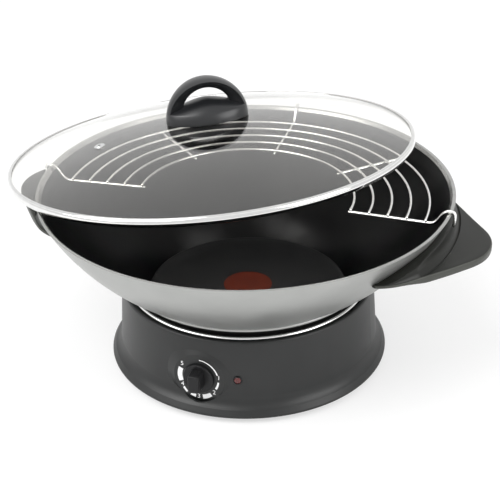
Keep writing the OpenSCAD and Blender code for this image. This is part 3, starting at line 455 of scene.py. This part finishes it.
# lid frame: the lid leans on the rim and on the left hook. Lean is the azimuth it tilts along, in degrees,
# and heights count from the middle of its edge. LipRows and backRows are offsets of radius and height from
# the top and from the foot of the band
lid = {
    "r": 186.5, "dome": 28.2, "glassT": 3.4, "glassIn": 1.1, "hole": 5.0, "edgeTop": 1.8, "low": -4.2,
    "bandH": 7.6, "bandT": 0.8, "bead": 4.6, "beadIn": 2.6, "beadHalf": 54, "steps": 256,
    "lipRows": ((-2.6, 0.0), (-3.1, 0.0), (-3.5, -0.15), (-3.6, -0.8)), "glassEase": (0.2, 1.0),
    "backRows": ((-4.0, 0.2), (-3.8, 0.0)),
    "tilt": 8.31, "lean": 143.9, "at": (-54.0, 56.9, 166.1), "knobTurn": 31.0,
}
lean = math.radians(lid["lean"])
lidFrame = (Matrix.Translation([v * mm for v in lid["at"]]) @ Matrix.Rotation(lean, 4, "Z")
            @ Matrix.Rotation(math.radians(lid["tilt"]), 4, "Y") @ Matrix.Rotation(-lean, 4, "Z"))
glassR = lid["r"] - lid["glassIn"]
domeR = (glassR ** 2 + lid["dome"] ** 2) / (2 * lid["dome"])
glassTop = lid["edgeTop"] + lid["dome"]


# the glass's outside is a ball's cap: height = top - R + sqrt(R^2 - r^2) at radius r
def glassZ(r):
    return glassTop - domeR + np.sqrt(domeR ** 2 - r * r)


# tempered soda-lime glass, pressed and polished, with a faint warm cast
clearGlass = newMaterial("clearGlass", Roughness=0.0, IOR=1.54, Transmission_Weight=1.0,
                         Base_Color=linear("#f6f5f2"))[0]
rs = np.linspace(lid["hole"], glassR, 60)
over = np.column_stack([rs, glassZ(rs)])
lidGlass = revolve("lidGlass", np.vstack([over[::-1] - [0, lid["glassT"]], over]), lid["steps"], [clearGlass],
                   frame4=lidFrame)
put(lidGlass, "lid", "lid_glass", "lid_glass", sharp=40)

# rolled stainless steel band, polished: a round bead that mirrors the room above and the dark bowl below
bandSteel = finish("bandSteel", "#d6d6d5", "#dededd", (0.06, 0.12), 0.6, 0.004, 9, True, Metallic=1.0)
low, high, bandR = lid["low"], lid["low"] + lid["bandH"], lid["r"]
seat, glassLow = high - lid["bandT"], lid["edgeTop"] - lid["glassT"]
section = np.vstack([
    [[bandR - lid["beadIn"], low]],
    arcPoints(bandR - lid["bead"], 0.5 * (low + high), lid["bead"], -lid["beadHalf"], lid["beadHalf"], 18),
    np.array([bandR, high]) + lid["lipRows"],
    [[bandR - lid["bandT"], seat], [bandR - lid["bandT"], glassLow - lid["glassEase"][0]]],
    [[bandR + lid["backRows"][0][0], glassLow - lid["glassEase"][1]]],
    np.array([bandR, low]) + lid["backRows"],
])
lidBand = revolve("lidBand", section, lid["steps"], [bandSteel], frame4=lidFrame)
put(lidBand, "lid", "band_steel", "lid_band", sharp=40)
print("lid made")

# lid knob: an oval mound that carries a loop
# satin black phenolic
lidKnobPlastic = finish("lidKnobPlastic", "#17181a", "#1c1d1f", (0.26, 0.36), 0.4, 0.01,
                        Specular_IOR_Level=0.5)
knobFrame = (lidFrame @ Matrix.Rotation(math.radians(lid["knobTurn"]), 4, "Z")
             @ Matrix.Translation((0, 0, glassTop * mm)))
# a and b are half the mound's length and width. Across the loop, outX and inX are places from -1 to 1 on its
# outside and its inside, and toEdge is how far out the inside stands at each of inX
lidKnob = {
    "a": 37.8, "b": 23.5, "wallZ": 9.6, "domeZ": 20.4, "roundZ": 1.2, "sides": 96,
    "fingerW": 20.5, "loopB": 13.0, "archZ": 7.7, "archR": 22.5, "edge": 2.4, "crease": 0.6,
    "footAngle": 11.5, "loopOver": 4.0, "loopSteps": 73, "outX": (-1, -0.72, -0.4, 0, 0.4, 0.72, 1),
    "inX": (1, 0.78, 0.55, 0.3, 0, -0.3, -0.55, -0.78, -1), "toEdge": (1, 0.35, 0.04, 0, 0, 0, 0.04, 0.35, 1),
}


# the mound's rings are ovals (halfA cos t, halfB sin t) at heights z. Up to wallZ halfA is that of a circle
# about roundZ, above it crownA ((domeZ - z) / (domeZ - wallZ))^0.7; halfB is b (1 - (z / domeZ)^2.2)^0.6
# throughout
def moundRings(k):
    crown = k["domeZ"] - k["wallZ"]
    low = np.concatenate([[0.0, 0.35], np.linspace(k["roundZ"], k["wallZ"], 12)])
    high = k["domeZ"] - crown * np.linspace(0.96, 0.05, 26) ** 1.5
    z = np.concatenate([low, high])
    crownA = math.sqrt(k["a"] ** 2 - (k["wallZ"] - k["roundZ"]) ** 2)
    halfA = np.concatenate([np.sqrt(k["a"] ** 2 - np.maximum(0, low - k["roundZ"]) ** 2),
                            crownA * ((k["domeZ"] - high) / crown) ** 0.7])
    halfB = k["b"] * (1 - (z / k["domeZ"]) ** 2.2) ** 0.6
    t = np.linspace(0, 2 * math.pi, k["sides"], endpoint=False)
    return np.stack([halfA[:, None] * np.cos(t), halfB[:, None] * np.sin(t), z[:, None] + 0 * t], -1) * mm


# the loop: sections on rays at equal angles from the round's centre. Across each section x goes from -1 to 1:
# the outside is crowned by edge |x|^2.4, a crease follows, then a face slopes in to the finger opening
def loopStack(k):
    start = math.radians(k["footAngle"])
    ang = np.linspace(start, math.pi - start, k["loopSteps"])
    c, s = np.cos(ang), np.sin(ang)
    rel = k["archZ"] - k["roundZ"]
    inner = s * rel + np.sqrt(k["archR"] ** 2 - (rel * c) ** 2)
    inner = np.minimum(inner, k["fingerW"] / np.maximum(np.abs(c), 0.3))
    half = k["loopB"] * np.sqrt(1 - (k["a"] * c / (k["a"] + k["loopOver"])) ** 2)
    outside = k["a"] - k["edge"] * np.abs(k["outX"]) ** 2.4
    lowEdge = k["a"] - k["edge"] - k["crease"]
    inside = inner[:, None] + (lowEdge - inner)[:, None] * k["toEdge"]
    radius = np.hstack([outside + 0 * ang[:, None], inside])
    x = np.concatenate([k["outX"], k["inX"]])
    return np.stack([radius * c[:, None], half[:, None] * x, k["roundZ"] + radius * s[:, None]], -1) * mm


for name, stack, node, sharp in (("lidKnobBase", moundRings(lidKnob), "lid_knob_base", 50),
                                 ("lidKnobLoop", loopStack(lidKnob), "lid_knob_loop", 38)):
    piece = ringObject(name, moved(stack, knobFrame), [lidKnobPlastic])
    put(piece, "lid", "lid_knob_plastic", node, sharp=sharp)
print("lid knob made")

# trim ring round the well: rolled stainless steel, polished bright
trimSteel = finish("trimSteel", "#e6e6e5", "#efefee", (0.14, 0.24), 0.5, 0.005, 9, True, Metallic=1.0)
trim = {"z": 72.3, "top": 76.0, "r": 108.6, "inR": 104.8, "round": 3.0, "inRound": 0.6, "ease": 0.2,
        "steps": 256}
section = np.vstack([
    [[trim["inR"], trim["z"]], [trim["r"] - trim["ease"], trim["z"]], [trim["r"], trim["z"] + trim["ease"]]],
    arcPoints(trim["r"] - trim["round"], trim["top"] - trim["round"], trim["round"], 0, 90, 10),
    arcPoints(trim["inR"] + trim["inRound"], trim["top"] - trim["inRound"], trim["inRound"], 90, 180, 4),
])
put(revolve("trimRing", section, trim["steps"], [trimSteel]), "base", "bright_trim", "trim_ring", sharp=50)
print("trim ring made")

# control knob: a round skirt with a grip bar across it, turned from Z to face the front
# injection-moulded nylon, black and fairly smooth
knobPlastic = finish("knobPlastic", "#19191a", "#1e1e1f", (0.3, 0.4), 0.4, 0.008, Specular_IOR_Level=0.22)
# each level of the bar is an inset and a drop from its top. FaceRows are offsets of radius and height from
# the skirt's face at its rim
dial = {
    "x": -3.3, "z": 36.8, "back": -116.6, "r": 13.8, "skirt": 2.5, "ease": 0.3, "edge": 0.9, "draft": 0.15,
    "faceRows": ((-2.6, -0.12), (-4.5, -0.2)), "poleR": 0.4, "steps": 144,
    "notch": 0.55, "notchW": 0.7, "notchR": 10.8, "notchOver": 1.2, "notchZ": 1.4,
    "height": 13.4, "halfW": 5.4, "top": 9.6, "low": -7.7, "round": 2.5, "leastRound": 0.4,
    "levels": ((0.0, 12.4), (0.12, 9.4), (0.3, 1.6), (0.5, 0.8), (0.85, 0.3), (1.4, 0.06), (2.1, 0)),
}
dialFrame = (Matrix.Translation((dial["x"] * mm, dial["back"] * mm, dial["z"] * mm))
             @ Matrix.Rotation(math.radians(90), 4, "X"))


# a rounded rectangle drawn in by an inset at a height: quarter circles about its four corner centres
def barRing(k, inset, z):
    r = max(k["round"] - inset, k["leastRound"])
    x, high, low = k["halfW"] - inset - r, k["top"] - inset - r, k["low"] + inset + r
    corners = ((x, high, 0), (-x, high, 90), (-x, low, 180), (x, low, 270))
    flat = np.vstack([arcPoints(cx, cy, r, a, a + 90, 9) for cx, cy, a in corners])
    return np.column_stack([flat, np.full(len(flat), z)])


# the skirt: straight side with a slight draft, rounded edge of the edge's radius, slightly hollow face, and
# a notch in its rim that falls off as e^(-(arc / notchW)^2) from the bar's upper end
def skirtStack(k):
    face = np.array([k["r"], k["skirt"]]) + k["faceRows"]
    section = np.vstack([
        [[k["poleR"], 0.0], [k["r"] - k["ease"], 0.0], [k["r"], k["ease"]]],
        arcPoints(k["r"] - k["edge"] - k["draft"], k["skirt"] - k["edge"], k["edge"], 0, 90, 8),
        face, [[k["poleR"], face[-1, 1]]],
    ])
    turn = np.linspace(0, 2 * math.pi, k["steps"], endpoint=False)
    r, z = section[:, 0, None], section[:, 1, None]
    notch = k["notch"] * np.exp(-((turn - math.pi / 2) * r / k["notchW"]) ** 2)
    notch = notch * np.clip((r - k["notchR"]) / k["notchOver"], 0, 1) * (z > k["notchZ"])
    return np.stack([r * np.cos(turn), r * np.sin(turn), z - notch], -1) * mm


bar = np.stack([barRing(dial, inset, dial["height"] - drop) for inset, drop in dial["levels"]]) * mm
knobStacks = [moved(skirtStack(dial), dialFrame), moved(bar, dialFrame)]
controlKnob = joinedStacks("controlKnob", knobStacks, [knobPlastic])
put(controlKnob, "knob", "knob_plastic", "control_knob", sharp=42)
print("control knob made")

# pilot lamp: a faceted ruby lens in a dark collar, turned from Z to face out at its place round the base
# ruby acrylic, moulded: dark where it is thick at its edge
rubyLens, tree, bsdf = newMaterial("rubyLens", Roughness=0.12, IOR=1.49, Coat_Weight=0.3)
at = addNode(tree, "ShaderNodeTexCoord").outputs["UV"]
facets = addNode(tree, "ShaderNodeTexVoronoi", {"Scale": 1000 / 1.3}, {"Vector": at})
height = addNode(tree, "ShaderNodeBump", {"Distance": 0.15 * mm}, {"Height": facets.outputs["Distance"]})
depth = addNode(tree, "ShaderNodeSeparateXYZ", None, {"Vector": at})
share = addNode(tree, "ShaderNodeMapRange", {"From Min": 0.0, "From Max": 0.0048},
                {"Value": depth.outputs["Y"]})
shade = addNode(tree, "ShaderNodeValToRGB", None, {"Fac": share.outputs["Result"]},
                [(0.25, "#120304"), (0.75, "#4f0f0e")])
tree.links.new(shade.outputs["Color"], bsdf.inputs["Base Color"])
tree.links.new(height.outputs["Normal"], bsdf.inputs["Normal"])
# collar of the lens: black nylon
lampCollar = finish("lampCollar", "#0c0c0d", "#121213", (0.35, 0.45), 0.4, 0.01, Specular_IOR_Level=0.4)
lamp = {"r": 3.9, "neckR": 3.0, "lensR": 3.0, "poleR": 0.3, "back": -5.8, "step": 0.3, "bead": 0.35,
        "beadZ": 0.45, "dome": 1.3, "domeFrom": 0.1, "domeTo": 1.5, "foot": 0.2, "turn": -75.0, "z": 38.3,
        "wallR": 115.89, "steps": 64}
# the lens's dome is a quarter of an oval, from near its edge to near its middle: (r cos t, height sin t)
t = np.linspace(lamp["domeFrom"], lamp["domeTo"], 10)
lens = np.column_stack([lamp["lensR"] * np.cos(t), lamp["foot"] + lamp["dome"] * np.sin(t)])
collar = np.vstack([
    [[lamp["poleR"], lamp["back"]], [lamp["neckR"], lamp["back"]], [lamp["neckR"], -lamp["step"]]],
    [[lamp["r"], -lamp["step"]], [lamp["r"], lamp["step"]]],
    arcPoints(lamp["r"] - lamp["bead"], lamp["beadZ"], lamp["bead"], 0, 180, 6),
])
lampFrame = (Matrix.Rotation(math.radians(lamp["turn"]), 4, "Z")
             @ Matrix.Translation((lamp["wallR"] * mm, 0, lamp["z"] * mm))
             @ Matrix.Rotation(math.radians(90), 4, "Y"))
section = np.vstack([collar, [[lamp["lensR"], lamp["foot"]]], lens])
sectionMats = np.where(np.arange(len(section)) < len(collar), 1, 0)
lampLens = revolve("lampLens", section, lamp["steps"], [rubyLens, lampCollar], rowMats=sectionMats,
                   frame4=lampFrame, looped=False)
put(lampLens, "base", "red_lens", "lamp_lens", sharp=45)
print("lamp made")

# materials of the base and of every other CAD node
# polypropylene housing, injection-moulded with a fine spark-eroded satin, grey black
housingPlastic = finish("housingPlastic", "#191a1a", "#1e1f1f", (0.34, 0.44), 0.55, 0.015,
                        Specular_IOR_Level=0.4)
# glass-filled nylon bottom plate
platePlastic = finish("platePlastic", "#1f2020", "#242525", (0.45, 0.55), 0.8, 0.02, Specular_IOR_Level=0.45)
# moulded rubber
rubber = finish("rubber", "#141414", "#1a1a1a", (0.75, 0.85), 0.6, 0.02, Specular_IOR_Level=0.3)
# nylon gland
glandNylon = finish("glandNylon", "#101011", "#161617", (0.45, 0.55), 0.6, 0.02, Specular_IOR_Level=0.4)
# cream thermoset of the thermostat, fuse and terminal block
creamPlastic = finish("creamPlastic", "#cfc7b0", "#ddd6c2", (0.4, 0.5), 0.7, 0.01)
# glazed steatite bushes
ceramic = finish("ceramic", "#e2ddcf", "#ede9dd", (0.2, 0.3), 1.5, 0.01)
# silicone seal
silicone = finish("silicone", "#161616", "#1d1d1d", (0.55, 0.65), 1.0, 0.01, Specular_IOR_Level=0.35)
# pvc wire insulation in the usual colours
brownWire, blackWire, blueWire, earthWire = (
    finish(name, dark, light, (0.4, 0.5), 2.0, 0.01)
    for name, dark, light in (("brownWire", "#5f3517", "#6f411f"), ("blackWire", "#191919", "#212121"),
                              ("blueWire", "#2b5a94", "#3768a6"), ("earthWire", "#5d8a2c", "#7aa53c")))
# zinc-plated steel of screws, brackets and springs
zincSteel = finish("zincSteel", "#adb0b3", "#bcbfc2", (0.2, 0.45), 1.0, 0.01, 6, Metallic=1.0)
# bright rolled aluminium reflector
panAluminium = finish("panAluminium", "#d0d2d3", "#dadcdd", (0.12, 0.3), 3.0, 0.02, 6, Metallic=1.0)
# brass of terminals, nut and shaft
brass = finish("brass", "#c3a65c", "#cfb268", (0.16, 0.36), 1.0, 0.006, 6, Metallic=1.0)
# copper capillary tube
copper = finish("copper", "#bd7344", "#cb8150", (0.16, 0.36), 1.0, 0.006, 6, Metallic=1.0)
# heating element sheath, heat-oxidised steel
elementSheath = finish("elementSheath", "#55504c", "#635e5a", (0.35, 0.7), 0.8, 0.02, 6, Metallic=1.0)
# polished stainless of the small lid fittings
smallSteel = finish("smallSteel", "#d0d0d0", "#dcdcdc", (0.1, 0.24), 1.0, 0.004, 6, Metallic=1.0)
# clear glass of the neon lamp
neonGlass = newMaterial("neonGlass", Roughness=0.05, IOR=1.5, Transmission_Weight=0.8,
                        Base_Color=linear("#f0c9ae"))[0]

cadMaterials = (
    (housingPlastic, ["base_housing"]), (platePlastic, ["bottom_plate"]), (rubber, ["base_feet"]),
    (zincSteel, ["base_screws", "element_brackets", "thermostat_bracket", "sensor_cup", "sensor_spring",
                 "sensor_holder", "fuse_clip", "knob_clip", "handle_brackets", "handle_screws"]),
    (panAluminium, ["reflector_pan"]), (elementSheath, ["heating_element"]), (ceramic, ["element_bushes"]),
    (brass, ["element_terminals", "thermostat_nut", "thermostat_shaft"]), (copper, ["capillary_tube"]),
    (creamPlastic, ["thermostat_body", "thermal_fuse", "terminal_block"]),
    (glandNylon, ["cord_gland", "gland_nut"]), (brownWire, ["live_lead"]), (blueWire, ["neutral_lead"]),
    (blackWire, ["switched_lead", "lamp_leads"]), (earthWire, ["earth_lead"]), (neonGlass, ["neon_lamp"]),
    (silicone, ["lid_knob_seal"]),
    (smallSteel, ["lid_knob_washer", "lid_knob_screw", "steam_vent"]),
)
for mat, names in cadMaterials:
    for name in names:
        mesh = nodes[name].data
        if not mesh.materials:
            mesh.materials.append(mat)
        for i in range(len(mesh.materials)):
            mesh.materials[i] = mat
print("CAD nodes dressed")

# printed scale round the control knob: white pad ink just proud of the boss, its edge a little worn
whiteInk, tree, bsdf = newMaterial("whiteInk", Roughness=0.5, Specular_IOR_Level=0.3)
at = addNode(tree, "ShaderNodeTexCoord").outputs["Object"]
wear = addNode(tree, "ShaderNodeTexNoise", {"Scale": 1000 / 0.8, "Detail": 2}, {"Vector": at})
tone = addNode(tree, "ShaderNodeValToRGB", None, {"Fac": wear.outputs["Fac"]},
               [(0.25, "#d9dada"), (0.6, "#f4f4f4")])
tree.links.new(tone.outputs["Color"], bsdf.inputs["Base Color"])
# rows of bars: angle, radius and width, each from one end to the other. Rows of digits: text, angle,
# radius, size
scaleFace = {
    "x": -3.3, "y": -116.08, "z": 36.8, "t": 0.16, "extrude": 0.07, "steps": 25,
    "bars": ((2, 72, 17.6, 17.6, 0.7, 1.2), (95, 120, 17.5, 17.3, 1.4, 2.0),
             (145, 171, 18.4, 18.9, 3.6, 4.5), (190, 204, 19.0, 19.8, 3.4, 1.4),
             (214, 230, 19.8, 18.5, 1.8, 2.0), (250, 294, 17.0, 17.4, 4.3, 4.3)),
    "digits": (("1", 80, 18.3, 5.6), ("2", 133, 18.3, 5.8), ("3", 182, 18.9, 5.8), ("4", 239, 17.7, 5.8),
               ("5", 308, 18.8, 5.8)),
}


# point of the scale's face at an angle in degrees clockwise from the top, as it is read
def onFace(angle, radius, y):
    a = np.radians(angle)
    return np.stack(np.broadcast_arrays(scaleFace["x"] + radius * np.sin(a), y,
                                        scaleFace["z"] + radius * np.cos(a)), -1)


# a printed arc whose angle, radius and width go evenly from one end to the other, as a thin slab
def inkBar(a0, a1, r0, r1, w0, w1):
    a, radius, width = (np.linspace(*ends, scaleFace["steps"]) for ends in ((a0, a1), (r0, r1), (w0, w1)))
    front, back = scaleFace["y"], scaleFace["y"] + scaleFace["t"]
    rIn, rOut = radius - 0.5 * width, radius + 0.5 * width
    corners = ((rIn, front), (rOut, front), (rOut, back), (rIn, back))
    return np.stack([onFace(a, r, y) for r, y in corners], 1) * mm


bars = [inkBar(*row) for row in scaleFace["bars"]]
put(joinedStacks("scaleBars", bars, [whiteInk], smooth=False), "base", "housing_plastic")
for text, angle, radius, size in scaleFace["digits"]:
    curve = bpy.data.curves.new("digit" + text, "FONT")
    curve.body = text
    curve.size = size * mm
    curve.extrude = scaleFace["extrude"] * mm
    curve.align_x = "CENTER"
    curve.align_y = "CENTER"
    holder = bpy.data.objects.new("digit" + text, curve)
    scene.collection.objects.link(holder)
    bpy.context.view_layer.update()
    mesh = bpy.data.meshes.new_from_object(holder)
    bpy.data.objects.remove(holder)
    at = Matrix.Translation(Vector(onFace(angle, radius, scaleFace["y"]) * mm))
    mesh.transform(at @ Matrix.Rotation(math.radians(90), 4, "X"))
    mesh.materials.clear()
    mesh.materials.append(whiteInk)
    piece = bpy.data.objects.new("scaleDigit" + text, mesh)
    scene.collection.objects.link(piece)
    put(piece, "base", "housing_plastic")
print("scale printed")

# stage: plain pale floor, soft light, white surround. Half is half the floor's side in metres, toWhite how
# far the camera sees the floor as plain white, so that it keeps a faint shadow, and ambient the surround's
# strength for diffuse light. Each area light has a place and a size in metres and a power in watts
stage = {
    "half": 6.0, "floor": (0.9, 0.9, 0.9, 1), "toWhite": 0.6, "ambient": 0.75,
    "sun": 1.6, "sunAngle": 40, "sunTurn": (28, -22, 0), "aim": (0, 0, 0.08),
    "areas": (("softLeft", (-0.9, -0.7, 0.9), 0.9, 6), ("softRight", (1.1, -0.2, 0.8), 0.8, 8)),
}
# matt white paper
floorMat, tree, bsdf = newMaterial("floorMat", Base_Color=stage["floor"], Roughness=0.9,
                                   Specular_IOR_Level=0.0)
paths = addNode(tree, "ShaderNodeLightPath")
seen = addNode(tree, "ShaderNodeMath", {"operation": "MULTIPLY", 1: stage["toWhite"]},
               {0: paths.outputs["Is Camera Ray"]})
pale = addNode(tree, "ShaderNodeEmission", {"Strength": 1.0})
shown = addNode(tree, "ShaderNodeMixShader", None,
                {0: seen.outputs["Value"], 1: bsdf.outputs["BSDF"], 2: pale.outputs["Emission"]})
tree.links.new(shown.outputs["Shader"], tree.nodes["Material Output"].inputs["Surface"])
corners = stage["half"] * np.array([(-1, -1, 0), (1, -1, 0), (1, 1, 0), (-1, 1, 0)])
floor = meshObject("floor", corners, [(0, 1, 2, 3)], [floorMat], smooth=False)

world = bpy.data.worlds.new("studio")
scene.world = world
world.use_nodes = True
tree = world.node_tree
tree.nodes.clear()
paths = addNode(tree, "ShaderNodeLightPath")
mirror = addNode(tree, "ShaderNodeMath", {"operation": "MAXIMUM"},
                 {0: paths.outputs["Is Camera Ray"], 1: paths.outputs["Is Glossy Ray"]})
clear = addNode(tree, "ShaderNodeMath", {"operation": "MAXIMUM"},
                {0: mirror.outputs["Value"], 1: paths.outputs["Is Transmission Ray"]})
ambient = addNode(tree, "ShaderNodeBackground", {"Strength": stage["ambient"], "Color": (1, 1, 1, 1)})
white = addNode(tree, "ShaderNodeBackground", {"Strength": 1.0, "Color": (1, 1, 1, 1)})
choose = addNode(tree, "ShaderNodeMixShader", None,
                 {0: clear.outputs["Value"], 1: ambient.outputs[0], 2: white.outputs[0]})
addNode(tree, "ShaderNodeOutputWorld", None, {"Surface": choose.outputs[0]})

sun = bpy.data.lights.new("softSun", "SUN")
sun.energy = stage["sun"]
sun.angle = math.radians(stage["sunAngle"])
sunObj = bpy.data.objects.new("softSun", sun)
scene.collection.objects.link(sunObj)
sunObj.rotation_euler = [math.radians(turn) for turn in stage["sunTurn"]]
for name, at, size, power in stage["areas"]:
    light = bpy.data.lights.new(name, "AREA")
    light.shape = "SQUARE"
    light.size = size
    light.energy = power
    holder = bpy.data.objects.new(name, light)
    scene.collection.objects.link(holder)
    holder.location = at
    holder.rotation_euler = (Vector(stage["aim"]) - Vector(at)).to_track_quat("-Z", "Y").to_euler()
print("stage set")
